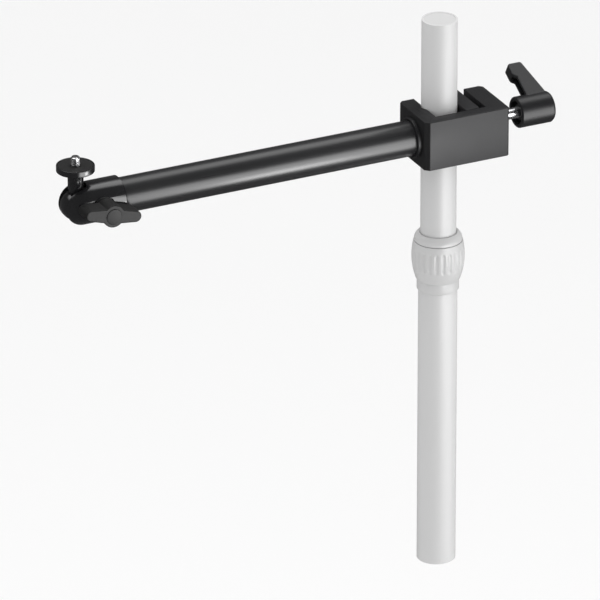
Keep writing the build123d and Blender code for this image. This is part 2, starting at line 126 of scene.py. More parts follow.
front_panel = panel_glow([
    ("Z", -0.66, -0.50), ("Z", 0.40, 0.10), ("X", -0.18, 0.16), ("X", 0.95, 0.62), ("Y", -0.05, -0.30)])
back_panel = panel_glow([("Y", -0.12, 0.12), ("Y", 0.66, 0.42), ("Z", 0.58, 0.78)])
front_strength = 6.6
back_strength = 2.9
room_reflected = 0.11
room_light = 0.935
glow = joined("ADD", joined("MULTIPLY", front_panel, front_strength),
              joined("MULTIPLY", back_panel, back_strength))
glow = joined("ADD", glow, room_reflected)
path = sky.nodes.new("ShaderNodeLightPath")
choice = sky.nodes.new("ShaderNodeMix")
choice.inputs["A"].default_value = room_light
sky.links.new(path.outputs["Is Glossy Ray"], choice.inputs["Factor"])
sky.links.new(glow, choice.inputs["B"])
sky.links.new(choice.outputs["Result"], sky.nodes["Background"].inputs["Strength"])
sky.nodes["Background"].inputs["Color"].default_value = (1.0, 1.0, 1.0, 1.0)


class Wire:
    """One output in a material, with Python's operators for its sums."""

    def __init__(self, finish, socket):
        self.finish = finish
        self.socket = socket

    def sum(self, operation, first, second):
        return self.finish.node("ShaderNodeMath", {"operation": operation}, {0: first, 1: second})

    def __add__(self, other):
        return self.sum("ADD", self, other)

    def __radd__(self, other):
        return self.sum("ADD", other, self)

    def __mul__(self, other):
        return self.sum("MULTIPLY", self, other)

    def __rmul__(self, other):
        return self.sum("MULTIPLY", other, self)


class Finish:
    """A procedural material, with its shader's constants set when it is made."""

    def __init__(self, name, constants):
        self.material = bpy.data.materials.new(name)
        self.material.use_nodes = True
        self.tree = self.material.node_tree
        self.shader = self.tree.nodes["Principled BSDF"]
        for socket, value in constants.items():
            self.shader.inputs[socket].default_value = value

    def node(self, kind, settings=None, inputs=None, output=0):
        made = self.tree.nodes.new(kind)
        for setting, value in (settings or {}).items():
            setattr(made, setting, value)
        for socket, value in (inputs or {}).items():
            if isinstance(value, Wire):
                self.tree.links.new(value.socket, made.inputs[socket])
            else:
                made.inputs[socket].default_value = value
        return Wire(self, made.outputs[output])

    def feed(self, socket, wire):
        self.tree.links.new(wire.socket, self.shader.inputs[socket])

    def grain(self, stretch, detail=3.0):
        """Noise over the piece, with its cells per metre along X, Y and Z."""
        place = self.node("ShaderNodeTexCoord", output="Object")
        scaled = self.node("ShaderNodeMapping", {}, {"Vector": place, "Scale": stretch})
        return self.node("ShaderNodeTexNoise", {}, {"Vector": scaled, "Scale": 1.0, "Detail": detail})

    def tint(self, factor, dark, light):
        """A colour between two, by a factor from 0 to 1."""
        return self.node(
            "ShaderNodeMix", {"data_type": "RGBA"},
            {0: factor, 6: (*dark, 1.0), 7: (*light, 1.0)}, output=2)

    def relief(self, height, depth):
        """Bump of that depth in metres."""
        self.feed("Normal", self.node("ShaderNodeBump", {}, {"Height": height, "Distance": depth}))


floor_size = 24.0
floor_drop = 1.1
floor_form = bmesh.new()
bmesh.ops.create_grid(floor_form, x_segments=2, y_segments=2, size=floor_size / 2)
bmesh.ops.translate(floor_form, verts=floor_form.verts, vec=(0, 0, -floor_drop))
floor_mesh = bpy.data.meshes.new("floor")
floor_form.to_mesh(floor_mesh)
floor_form.free()
floor = bpy.data.objects.new("floor", floor_mesh)
bpy.context.collection.objects.link(floor)
floor_paint = Finish("floor_paint", {"Roughness": 0.9, "Specular IOR Level": 0.1})
floor_paint.feed("Base Color", floor_paint.tint(
    floor_paint.grain((2, 2, 2)), (0.965, 0.965, 0.965), (0.975, 0.975, 0.975)))
floor.data.materials.append(floor_paint.material)
floor.visible_glossy = False

# ---- Lower tube ------------------------------------------------------------------------
# Outer section of the pole: drawn aluminium, light grey anodised, cut square at its foot, and
# turned down a little where the collar's sleeve is glued. A moulded plug closes the foot.


def turned(profile, centre, axis, steps=96, rounding=0.0):
    """A solid turned round an axis. The outline is (along, radius) points from the centre.
    An outline that starts and ends on the axis is closed by it, and any other closes on itself."""
    axis = Vector(axis)
    out = axis.orthogonal().normalized()
    form = bmesh.new()
    corners = [form.verts.new(Vector(centre) + axis * along + out * radius)
               for along, radius in profile]
    pairs = list(zip(corners, corners[1:]))
    if profile[0][1] > 0:
        pairs.append((corners[-1], corners[0]))
    for pair in pairs:
        form.edges.new(pair)
    bmesh.ops.spin(
        form, geom=form.verts[:] + form.edges[:], cent=centre, axis=axis, dvec=(0, 0, 0),
        angle=math.tau, steps=steps, use_merge=True)
    bmesh.ops.remove_doubles(form, verts=form.verts, dist=1e-7)
    bmesh.ops.recalc_face_normals(form, faces=form.faces)
    if rounding > 0:
        soften(form, rounding)
    return form


def soften(form, rounding, angle=30, segments=3):
    """Rounds the edges where faces meet at more than an angle."""
    sharp = [edge for edge in form.edges
             if edge.is_manifold and edge.calc_face_angle(0) > math.radians(angle)]
    bmesh.ops.bevel(
        form, geom=sharp, offset=rounding, offset_type="OFFSET", segments=segments, profile=0.5,
        affect="EDGES", material=-1, clamp_overlap=True)


def finished(form, name, finish, sharp=38):
    """Makes a smooth-shaded object of a finished shape."""
    mesh = bpy.data.meshes.new(name)
    form.to_mesh(mesh)
    form.free()
    for face in mesh.polygons:
        face.use_smooth = True
    mesh.set_sharp_from_angle(angle=math.radians(sharp))
    piece = bpy.data.objects.new(name, mesh)
    bpy.context.collection.objects.link(piece)
    piece.data.materials.append(finish.material)
    return piece


def coat(node, finish):
    """Gives a frame part its finish."""
    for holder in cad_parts[node].material_slots:
        holder.material = finish.material


def pole_anodise():
    """Light grey anodising over fine lines along the drawn tube."""
    finish = Finish("pole_anodise", {"Metallic": 0.0, "Specular IOR Level": 0.34})
    lines = finish.grain((2400, 2400, 16))
    cloud = finish.grain((30, 30, 12), 2.0)
    finish.feed("Base Color", finish.tint(
        cloud * 0.6 + lines * 0.4, (0.585, 0.585, 0.585), (0.64, 0.64, 0.64)))
    finish.feed("Roughness", 0.34 + lines * 0.14)
    finish.relief(lines, 0.00001)
    return finish


low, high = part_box("lower_tube")
lower_radius = high[0]
lower_wall = 0.95 * mm
lower_bore = lower_radius - lower_wall
step_depth = 0.2 * mm
step_radius = lower_radius - step_depth
step_z = 211.7 * mm
pole_grey = pole_anodise()
tube = turned(
    [(low[2], lower_bore), (high[2], lower_bore), (high[2], step_radius), (step_z, step_radius),
     (step_z, lower_radius), (low[2], lower_radius)],
    (0, 0, 0), (0, 0, 1), rounding=0.2 * mm)
lower_section = finished(tube, "lower_section", pole_grey)
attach(lower_section, "lower_pole")
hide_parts("lower_tube")


def grey_moulding():
    """Light grey glass-filled nylon with a fine moulded grain."""
    finish = Finish("grey_moulding", {"Specular IOR Level": 0.26})
    grain = finish.grain((2600, 2600, 2600))
    cloud = finish.grain((60, 60, 60), 2.0)
    finish.feed("Base Color", finish.tint(cloud, (0.555, 0.555, 0.555), (0.60, 0.60, 0.60)))
    finish.feed("Roughness", 0.26 + grain * 0.14)
    finish.relief(grain, 0.00003)
    return finish


moulded_grey = grey_moulding()
coat("foot_plug", moulded_grey)

# ---- Twist collar ----------------------------------------------------------------------
# A threaded sleeve glued on the outer tube, and a barrel grip that turns on it and squeezes
# a split nylon collet. The grip is moulded with round-ended flutes and a tapered top ring.
low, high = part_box("collar_body")
ring_radius = high[0]
thread_depth = 0.5 * mm
thread_radius = ring_radius - thread_depth
ring_height = 7.8 * mm
ring_top = low[2] + ring_height
sleeve = turned(
    [(low[2], step_radius), (high[2], step_radius), (high[2], thread_radius),
     (ring_top, thread_radius), (ring_top, ring_radius), (low[2], ring_radius)],
    (0, 0, 0), (0, 0, 1), rounding=0.3 * mm)
collar_sleeve = finished(sleeve, "collar_sleeve", moulded_grey)
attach(collar_sleeve, "lower_pole")
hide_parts("collar_body")


def barrel_radius(z):
    """The grip's outer radius at a height: one arc of 50 mm about its widest place."""
    arc = 50.0 * mm
    widest = 18.85 * mm
    widest_z = 237.7 * mm
    return widest - arc + math.sqrt(arc ** 2 - (z - widest_z) ** 2)


low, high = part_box("lock_grip")
thread_play = 0.05 * mm
grip_bore = thread_radius + thread_play
collet_room = 14.75 * mm
cone_tip = 13.65 * mm
belly_rows = 34
thread_end = 237.0 * mm
cone_start = 242.0 * mm
outline = [(low[2], grip_bore), (thread_end, grip_bore), (thread_end, collet_room),
           (cone_start, collet_room), (high[2], cone_tip)]
for row in range(belly_rows + 1):
    z = high[2] + (low[2] - high[2]) * row / belly_rows
    outline.append((z, barrel_radius(z)))
flute_count = 24
flute_reach = 1.45 * mm
flute_depth = 0.6 * mm
flute_round = 0.75
steps_per_flute = 12
flute_low = 230.8 * mm
flute_high = 243.2 * mm
grip = turned(outline, (0, 0, 0), (0, 0, 1), steps=flute_count * steps_per_flute)
pitch = math.tau / flute_count
for vert in grip.verts:
    radius = math.hypot(vert.co.x, vert.co.y)
    if radius < barrel_radius(vert.co.z) - thread_play:
        continue
    angle = math.atan2(vert.co.y, vert.co.x)
    aside = (angle / pitch - round(angle / pitch)) * pitch * radius
    beyond = max(0.0, flute_low - vert.co.z, vert.co.z - flute_high)
    away = math.hypot(aside, beyond) / flute_reach
    if away < 1.0:
        depth = flute_depth * (1.0 - away ** 2) ** flute_round
        vert.co.x -= depth * math.cos(angle)
        vert.co.y -= depth * math.sin(angle)
fluted_grip = finished(grip, "fluted_grip", moulded_grey, sharp=50)
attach(fluted_grip, "lock_collar")
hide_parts("lock_grip")

low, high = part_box("grip_cap_ring")
ring_bore = 12.9 * mm
ring_seat = 16.2 * mm
ring_mouth = 13.9 * mm
groove_top = low[2] + 0.45 * mm
rim_top = low[2] + 1.3 * mm
crown_steps = 8
crown_round = 1.9
cap_outline = [(low[2], ring_bore), (low[2], ring_seat), (groove_top, ring_seat),
               (groove_top, high[0]), (rim_top, high[0])]
for step in range(1, crown_steps + 1):
    share = step / crown_steps
    cap_outline.append((rim_top + (high[2] - rim_top) * share,
                        high[0] - (high[0] - ring_mouth) * share ** crown_round))
mouth_lip = 0.5 * mm
cap_outline += [(high[2] - mouth_lip, ring_bore)]
cap = turned(cap_outline, (0, 0, 0), (0, 0, 1))
tapered_ring = finished(cap, "tapered_ring", moulded_grey)
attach(tapered_ring, "lock_collar")
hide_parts("grip_cap_ring")


def natural_nylon():
    """Undyed nylon, slightly waxy."""
    finish = Finish("natural_nylon", {})
    cloud = finish.grain((400, 400, 400))
    finish.feed("Base Color", finish.tint(cloud, (0.66, 0.65, 0.61), (0.74, 0.73, 0.69)))
    finish.feed("Roughness", 0.42 + cloud * 0.12)
    return finish


nylon = natural_nylon()
coat("collet", nylon)

# ---- Upper tube -------------------------------------------------------------------------
# Inner section of the pole: 1 inch aluminium tube, drawn and anodised like the outer one.
# A nylon guide is pressed in its lower end and a moulded plug in its top.
low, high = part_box("upper_tube")
tube_wall = 1.5 * mm
upper_radius = high[0]
upper_bore = upper_radius - tube_wall
tube = turned(
    [(low[2], upper_bore), (high[2], upper_bore), (high[2], upper_radius), (low[2], upper_radius)],
    (0, 0, 0), (0, 0, 1), rounding=0.25 * mm)
upper_section = finished(tube, "upper_section", pole_grey)
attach(upper_section, "upper_pole")
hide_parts("upper_tube")
coat("guide_plug", nylon)
coat("top_plug", moulded_grey)

# ---- Clamp body --------------------------------------------------------------------------
# A machined aluminium C, open to the back, blasted and anodised black. Its left leg is the
# fixed jaw, its right leg carries the screw, and its front wall is a plain flat face.


def blasted_black():
    """Black anodising on a fine blasted surface."""
    finish = Finish("blasted_black", {"Specular IOR Level": 0.22})
    blast = finish.grain((3800, 3800, 3800), 2.0)
    cloud = finish.grain((70, 70, 70), 3.0)
    finish.feed("Base Color", finish.tint(cloud, (0.013, 0.013, 0.014), (0.018, 0.018, 0.019)))
    finish.feed("Roughness", 0.38 + cloud * 0.10)
    finish.relief(blast, 0.00002)
    return finish


def solid_of(obj):
    """The shape of an object after its modifiers."""
    bpy.context.view_layer.update()
    seen = obj.evaluated_get(bpy.context.evaluated_depsgraph_get())
    mesh = bpy.data.meshes.new_from_object(seen)
    form = bmesh.new()
    form.from_mesh(mesh)
    bpy.data.meshes.remove(mesh)
    return form


def blank_of(form, name):
    """A plain object of a shape, to put modifiers on."""
    mesh = bpy.data.meshes.new(name)
    form.to_mesh(mesh)
    form.free()
    blank = bpy.data.objects.new(name, mesh)
    bpy.context.collection.objects.link(blank)
    return blank


def carved(form, cutters):
    """A shape with others cut out of it."""
    blank = blank_of(form, "blank")
    tools = [blank_of(cutter, "cutter") for cutter in cutters]
    for tool in tools:
        cut = blank.modifiers.new("cut", "BOOLEAN")
        cut.operation = "DIFFERENCE"
        cut.solver = "EXACT"
        cut.object = tool
    result = solid_of(blank)
    for used in [blank] + tools:
        bpy.data.objects.remove(used)
    bmesh.ops.remove_doubles(result, verts=result.verts, dist=1e-6)
    return result


def drilled(start, end, radius, steps=64):
    """A round cutter from one point to another."""
    run = Vector(end) - Vector(start)
    return turned([(0, 0), (0, radius), (run.length, radius), (run.length, 0)],
                  start, run.normalized(), steps)


def plate(outline, low_z, high_z):
    """An upright prism on a plan of (x, y) points in millimetres."""
    form = bmesh.new()
    base = form.faces.new([form.verts.new((x * mm, y * mm, low_z)) for x, y in outline])
    raised = bmesh.ops.extrude_face_region(form, geom=[base])["geom"]
    top = [item for item in raised if isinstance(item, bmesh.types.BMVert)]
    bmesh.ops.translate(form, verts=top, vec=(0, 0, high_z - low_z))
    bmesh.ops.recalc_face_normals(form, faces=form.faces)
    return form


low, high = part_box("clamp_body")
left, front = low[0] / mm, low[1] / mm
right, back = high[0] / mm, high[1] / mm
arm_low, arm_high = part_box("arm_tube")
arm_y = (arm_low[1] + arm_high[1]) / 2
clamp_z = (arm_low[2] + arm_high[2]) / 2
front_wall = 9.0
inner_front = front + front_wall
vee_half = 5.0
vee_depth = 2.3
grip_gap = 0.1
jaw_face = -math.sqrt((upper_radius / mm) ** 2 - vee_half ** 2) - grip_gap
leg_inner = 27.2
root_corner = 3.2
front_corner = 1.2
back_corner = 2.4
plan = [
    (left + root_corner, front), (right - front_corner, front), (right, front + front_corner),
    (right, back - back_corner), (right - back_corner, back), (leg_inner, back),
    (leg_inner, inner_front), (jaw_face, inner_front), (jaw_face, -vee_half),
    (jaw_face - vee_depth, 0.0), (jaw_face, vee_half), (jaw_face, back), (left + back_corner, back),
    (left, back - back_corner), (left, front + root_corner)]
block = plate(plan, low[2], high[2])
soften(block, 0.45 * mm, angle=25)
bolt_seat = (left + 5.8) * mm
bolt_room = 5.4 * mm
screw_bore = 4.05 * mm
boss_room = 6.5 * mm
boss_room_depth = 6.0 * mm
leg_face = leg_inner * mm
block = carved(block, [
    drilled((leg_face - mm, 0, clamp_z), (45 * mm, 0, clamp_z), screw_bore),
    drilled((leg_face - mm, 0, clamp_z), (leg_face + boss_room_depth, 0, clamp_z), boss_room),
    drilled((bolt_seat, arm_y, clamp_z), (-10 * mm, arm_y, clamp_z), bolt_room),
])
black_blasted = blasted_black()
clamp_frame = finished(block, "clamp_frame", black_blasted)
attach(clamp_frame, "clamp_arm")
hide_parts("clamp_body")

# ---- Moving jaw ---------------------------------------------------------------------------
# A block of the same black anodised aluminium, which slides in the C. A shallow vee takes
# the pole, and a boss on its back holds the screw's neck with a retaining ring.
low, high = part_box("moving_jaw")
back = high[1] / mm
front = low[1] / mm
vee_half = 4.2
vee_depth = 1.7
face = math.sqrt((upper_radius / mm) ** 2 - vee_half ** 2) + grip_gap
rear = 22.8
corner = 1.0
plan = [
    (face, front), (rear - corner, front), (rear, front + corner), (rear, back - corner),
    (rear - corner, back), (face, back), (face, vee_half), (face + vee_depth, 0.0),
    (face, -vee_half)]
jaw = plate(plan, low[2], high[2])
soften(jaw, 0.4 * mm, angle=25)
jaw_block = finished(jaw, "jaw_block", black_blasted)
boss_radius = 6.2 * mm
boss_root = rear * mm - 0.5 * mm
boss = turned(
    [(boss_root, screw_bore), (high[0], screw_bore), (high[0], boss_radius), (boss_root, boss_radius)],
    (0, 0, clamp_z), (1, 0, 0), rounding=0.3 * mm)
jaw_boss = finished(boss, "jaw_boss", black_blasted)
for piece in (jaw_block, jaw_boss):
    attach(piece, "jaw")
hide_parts("moving_jaw")

# ---- Clamp screw ----------------------------------------------------------------------------
# M8 screw, bright zinc on steel, with a rolled thread and a neck for the jaw's retaining
# ring. A domed screw in its outer end holds the lever and its spring on.


def turned_steel(name, rings_along):
    """Bright steel with the fine rings that turning leaves."""
    finish = Finish(name, {"Metallic": 1.0})
    rings = finish.grain(rings_along, 1.0)
    finish.feed("Base Color", finish.tint(rings, (0.66, 0.66, 0.67), (0.80, 0.80, 0.81)))
    finish.feed("Roughness", 0.16 + rings * 0.14)
    finish.relief(rings, 0.000004)
    return finish


def threaded(start, end, radius, pitch, direction, steps=40):
    """A threaded bar: one tooth's section spun along a helix, cut square at both ends."""
    direction = Vector(direction)
    out = direction.orthogonal().normalized()
    tooth = pitch * 0.541
    section = [(0.0, radius - tooth), (pitch * 5 / 16, radius), (pitch * 7 / 16, radius),
               (pitch * 12 / 16, radius - tooth), (pitch, radius - tooth)]
    form = bmesh.new()
    first = Vector(start) - direction * pitch * 2
    corners = [form.verts.new(first + direction * along + out * r) for along, r in section]
    for pair in zip(corners, corners[1:]):
        form.edges.new(pair)
    length = (Vector(end) - Vector(start)).length
    turns = math.ceil(length / pitch) + 3
    bmesh.ops.spin(
        form, geom=form.verts[:] + form.edges[:], cent=start, axis=direction,
        dvec=direction * pitch / steps, angle=math.tau * turns, steps=steps * turns,
        use_merge=False)
    bmesh.ops.remove_doubles(form, verts=form.verts, dist=1e-6)
    for place, outward in ((start, -direction), (end, direction)):
        bmesh.ops.bisect_plane(
            form, geom=form.verts[:] + form.edges[:] + form.faces[:], dist=1e-7, plane_co=place,
            plane_no=outward, clear_outer=True)
    rims = [edge for edge in form.edges if edge.is_boundary]
    bmesh.ops.holes_fill(form, edges=rims, sides=0)
    bmesh.ops.triangulate(form, faces=[face for face in form.faces if len(face.verts) > 4])
    bmesh.ops.recalc_face_normals(form, faces=form.faces)
    return form


low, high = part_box("clamp_screw")
screw_radius = high[1]
screw_pitch = 1.25 * mm
neck_left = 24.2 * mm
neck_right = 25.8 * mm
neck_radius = 3.0 * mm
past_thread = 6.0 * mm
neck = turned(
    [(neck_left, neck_radius), (neck_right, neck_radius), (neck_right, past_thread),
     (neck_left, past_thread)],
    (0, 0, clamp_z), (1, 0, 0), steps=48)
bar = threaded((low[0], 0, clamp_z), (high[0], 0, clamp_z), screw_radius, screw_pitch, (1, 0, 0))
bar = carved(bar, [neck])
steel_across = turned_steel("steel_across", (2500, 40, 40))
rolled_screw = finished(bar, "rolled_screw", steel_across, sharp=30)
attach(rolled_screw, "clamp_screw")
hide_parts("clamp_screw")
for inner_part in ("jaw_clip", "lever_spring"):
    coat(inner_part, steel_across)

low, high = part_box("lever_screw")
cap_end = high[0]
cap_tip = 63.0 * mm
cap_shank = 2.5 * mm
head_left = 84.1 * mm
head_radius = high[1]
dome_start = 86.4 * mm
dome_flat = 1.7 * mm
dome_steps = 8
dome = [(cap_tip, 0), (cap_tip, cap_shank), (head_left, cap_shank), (head_left, head_radius)]
dome += [(dome_start, head_radius)]
for step in range(1, dome_steps + 1):
    lean = math.radians(90 * step / dome_steps)
    dome.append((dome_start + (cap_end - dome_start) * math.sin(lean),
                 dome_flat + (head_radius - dome_flat) * math.cos(lean)))
dome += [(cap_end, 0)]
cap_screw = turned(dome, (0, 0, clamp_z), (1, 0, 0), steps=64)
socket_floor = cap_end - 1.8 * mm
socket_half = 1.6 * mm
socket_cut = turned(
    [(socket_floor, 0), (socket_floor, socket_half), (cap_end + mm, socket_half), (cap_end + mm, 0)],
    (0, 0, clamp_z), (1, 0, 0), steps=6)
domed_screw = finished(carved(cap_screw, [socket_cut]), "domed_screw", steel_across)
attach(domed_screw, "clamp_screw")
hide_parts("lever_screw")

# ---- Clamping lever -----------------------------------------------------------------------
# A zinc die casting, black powder coated: a round hub over the toothed insert, and an arm
# that is a channel on its clamp side and a thicker rounded grip at its end.


def powder_black():
    """Black powder coat with a faint orange-peel surface."""
    finish = Finish("powder_black", {"Specular IOR Level": 0.34})
    peel = finish.grain((900, 900, 900), 1.0)
    cloud = finish.grain((90, 90, 90), 2.0)
    finish.feed("Base Color", finish.tint(cloud, (0.010, 0.010, 0.011), (0.015, 0.015, 0.016)))
    finish.feed("Roughness", 0.30 + cloud * 0.10)
    finish.relief(peel, 0.00004)
    return finish


def melded(forms, cell, rounds):
    """One cast shape from several solids, with its inner corners filleted."""
    heap = bmesh.new()
    for form in forms:
        mesh = bpy.data.meshes.new("part")
        form.to_mesh(mesh)
        form.free()
        heap.from_mesh(mesh)
        bpy.data.meshes.remove(mesh)
    blank = blank_of(heap, "casting")
    remesh = blank.modifiers.new("meld", "REMESH")
    remesh.mode = "VOXEL"
    remesh.voxel_size = cell
    ease = blank.modifiers.new("ease", "SMOOTH")
    ease.factor = 0.5
    ease.iterations = rounds
    result = solid_of(blank)
    bpy.data.objects.remove(blank)
    return result


def slab(outline, low_h, high_h):
    """A prism on a plan of (x, along) points in millimetres, rounded along its edges."""
    form = plate(outline, low_h * mm, high_h * mm)
    soften(form, 0.9 * mm, angle=25)
    return form


low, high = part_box("lever_handle")
hub_left = low[0] / mm
hub_right = high[0] / mm
hub_radius = (clamp_z - low[2]) / mm
lean = math.radians(60)
reach = 36.0
thick = 9.0
mouth_edge = 0.8
hub = turned(
    [(x * mm, r * mm) for x, r in (
        (hub_left, 0), (hub_left, hub_radius - mouth_edge), (hub_left + mouth_edge, hub_radius),
        (hub_right - 1.6, hub_radius), (hub_right, hub_radius - 1.2), (hub_right, 0))],
    (0, 0, 0), (1, 0, 0), rounding=0.3 * mm)
neck_left = 69.6
end_left = 66.8
end_start = 24.5
tip_right = 77.8
tip_corner = 1.4
inside_hub = 4.0
arm_plan = [
    (neck_left, inside_hub), (hub_right - 2.0, inside_hub), (hub_right - 2.5, 8.5),
    (tip_right, reach - 0.6), (tip_right - tip_corner, reach), (end_left + tip_corner, reach),
    (end_left, reach - tip_corner), (end_left, end_start + 1.5), (end_left + 1.2, end_start),
    (neck_left, end_start - 1.0)]
arm = slab(arm_plan, 0.0, thick)
flange = 2.1
channel_start = 7.5
channel_end = 26.0
channel = slab([(neck_left - 4, channel_start), (neck_left + 7.0, channel_start),
                (neck_left + 5.0, channel_end), (neck_left - 4, channel_end)],
               flange, thick - flange)
arm = carved(arm, [channel])
lever_frame = Matrix.Translation((0, 0, clamp_z)) @ Matrix((
    (1, 0, 0, 0),
    (0, math.sin(lean), -math.cos(lean), 0),
    (0, math.cos(lean), math.sin(lean), 0),
    (0, 0, 0, 1)))
bmesh.ops.transform(arm, matrix=lever_frame, verts=arm.verts)
bmesh.ops.translate(hub, verts=hub.verts, vec=(0, 0, clamp_z))
cast_cell = 0.22 * mm
fillet_rounds = 3
casting = melded([hub, arm], cast_cell, fillet_rounds)
mouth_end = 66.0
web_left = 72.4
web_right = 75.2
bores = (
    (hub_left - 1, mouth_end, 8.6),
    (mouth_end - 1, web_left, 6.1),
    (web_left - 2.4, web_right + 4.8, 2.55),
    (web_right, hub_right + 1, 5.0),
)
casting = carved(casting, [
    drilled((start * mm, 0, clamp_z), (end * mm, 0, clamp_z), radius * mm)
    for start, end, radius in bores])
black_powder = powder_black()
cast_lever = finished(casting, "cast_lever", black_powder)
coat("lever_insert", black_powder)
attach(cast_lever, "lever")
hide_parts("lever_handle")

# ---- Arm ------------------------------------------------------------------------------------
# 1 inch aluminium tube, drawn and anodised satin black, bolted to the clamp's left leg with a
# flange round its root. A plug in its far end carries the spigot that the head turns on.


def satin_black():
    """Satin black anodising over the fine lines of a drawn tube along X."""
    finish = Finish("satin_black", {"Specular IOR Level": 0.5})
    lines = finish.grain((14, 2600, 2600))
    cloud = finish.grain((14, 50, 50), 2.0)
    finish.feed("Base Color", finish.tint(cloud, (0.015, 0.015, 0.016), (0.021, 0.021, 0.022)))
    finish.feed("Roughness", 0.22 + lines * 0.10 + cloud * 0.05)
    finish.relief(lines, 0.00001)
    return finish


low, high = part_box("arm_tube")
arm_axis = (0, arm_y, clamp_z)
arm_radius = (high[2] - low[2]) / 2
arm_bore = arm_radius - tube_wall
black_satin = satin_black()
tube = turned(
    [(low[0], arm_bore), (high[0], arm_bore), (high[0], arm_radius), (low[0], arm_radius)],
    arm_axis, (1, 0, 0), steps=128, rounding=0.6 * mm)
drawn_arm = finished(tube, "drawn_arm", black_satin)
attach(drawn_arm, "clamp_arm")
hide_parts("arm_tube")

low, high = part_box("arm_flange")
flange_radius = (high[2] - low[2]) / 2
ring = turned(
    [(low[0], arm_radius), (high[0], arm_radius), (high[0], flange_radius), (low[0], flange_radius)],
    arm_axis, (1, 0, 0), steps=128, rounding=0.5 * mm)
root_flange = finished(ring, "root_flange", black_blasted)
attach(root_flange, "clamp_arm")
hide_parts("arm_flange")
for inner_part in ("arm_root_plug", "arm_root_bolt", "arm_end_plug", "spigot_clip"):
    coat(inner_part, steel_across)
coat("spigot_washer", black_blasted)

# ---- Head housing ------------------------------------------------------------------------------
# Turned aluminium with a rounded end, polished and anodised gloss black. A slot for the stem
# runs over its top, round its end and along its underside.


def gloss_black():
    """Polished black anodising, very slightly uneven."""
    finish = Finish("gloss_black", {"Specular IOR Level": 0.5, "Coat Roughness": 0.08})
    cloud = finish.grain((120, 120, 120), 2.0)
    finish.feed("Base Color", finish.tint(cloud, (0.010, 0.010, 0.011), (0.014, 0.014, 0.015)))
    finish.feed("Roughness", 0.12 + cloud * 0.06)
    finish.feed("Coat Weight", 0.10 + cloud * 0.1)
    return finish


low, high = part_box("head_housing")
head_radius = (high[2] - low[2]) / 2
head_right = high[0]
ball_x = -282.7 * mm
ball_centre = Vector((ball_x, arm_y, clamp_z))
head_bore = 11.1 * mm
arc_steps = 24
end_shift = low[0] + head_radius - ball_x
shell_outline = []
for step in range(arc_steps + 1):
    turn = math.pi / 2 * step / arc_steps
    shell_outline.append((end_shift - head_radius * math.cos(turn), head_radius * math.sin(turn)))
shell_outline += [(head_right - ball_x, head_radius), (head_right - ball_x, head_bore)]
for step in range(arc_steps + 1):
    turn = math.pi / 2 * (1 - step / arc_steps)
    shell_outline.append((-head_bore * math.cos(turn), head_bore * math.sin(turn)))
shell = turned(shell_outline, ball_centre, (1, 0, 0), steps=128)
slot_half = 6.7
slot_end = -275.2
slot_centre = slot_end - slot_half
past_end = -304
axis_y = arm_y / mm
slot_plan = [(past_end, axis_y - slot_half), (slot_centre, axis_y - slot_half)]
for step in range(1, arc_steps):
    turn = math.pi * step / arc_steps - math.pi / 2
    slot_plan.append((slot_centre + slot_half * math.cos(turn), axis_y + slot_half * math.sin(turn)))
slot_plan += [(slot_centre, axis_y + slot_half), (past_end, axis_y + slot_half)]
slot = plate(slot_plan, clamp_z - 20 * mm, clamp_z + 20 * mm)
knob_x = -267.7 * mm
bush_radius = 4.5 * mm
spot_radius = 8.7 * mm
spot_depth = 13.4 * mm
outside = (knob_x, arm_y - 20 * mm, clamp_z)
bush_hole = drilled(outside, (knob_x, arm_y, clamp_z), bush_radius)
spot_face = drilled(outside, (knob_x, arm_y - spot_depth, clamp_z), spot_radius)
shell = carved(shell, [slot, bush_hole, spot_face])
soften(shell, 0.35 * mm, angle=40)
black_gloss = gloss_black()
slotted_housing = finished(shell, "slotted_housing", black_gloss)
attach(slotted_housing, "head")
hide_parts("head_housing")
coat("head_rear_plug", black_gloss)
coat("ball_seat", nylon)


def plain_brass():
    """Turned brass."""
    finish = Finish("plain_brass", {"Metallic": 1.0})
    rings = finish.grain((60, 3000, 60), 1.0)
    finish.feed("Base Color", finish.tint(rings, (0.58, 0.44, 0.20), (0.70, 0.55, 0.27)))
    finish.feed("Roughness", 0.22 + rings * 0.14)
    return finish


coat("knob_bush", plain_brass())

# ---- Ball and stem -----------------------------------------------------------------------------
# A polished ball, flattened where the stem's tenon enters it. The stem is a turned bar that
# flares under the platform.
low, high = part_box("ball")
ball_radius = (high[0] - low[0]) / 2
flat_top = high[2] - clamp_z
sphere = bmesh.new()
bmesh.ops.create_uvsphere(sphere, u_segments=96, v_segments=64, radius=ball_radius)
bmesh.ops.bisect_plane(
    sphere, geom=sphere.verts[:] + sphere.edges[:] + sphere.faces[:], dist=1e-7,
    plane_co=(0, 0, flat_top), plane_no=(0, 0, 1), clear_outer=True)
bmesh.ops.holes_fill(sphere, edges=[edge for edge in sphere.edges if edge.is_boundary], sides=0)
bmesh.ops.translate(sphere, verts=sphere.verts, vec=ball_centre)
tenon_bore = 3.05 * mm
sphere = carved(sphere, [drilled(
    ball_centre + Vector((0, 0, -4.3 * mm)), ball_centre + Vector((0, 0, 12 * mm)), tenon_bore)])
polished_ball = finished(sphere, "polished_ball", black_gloss)
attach(polished_ball, "ball")
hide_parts("ball")

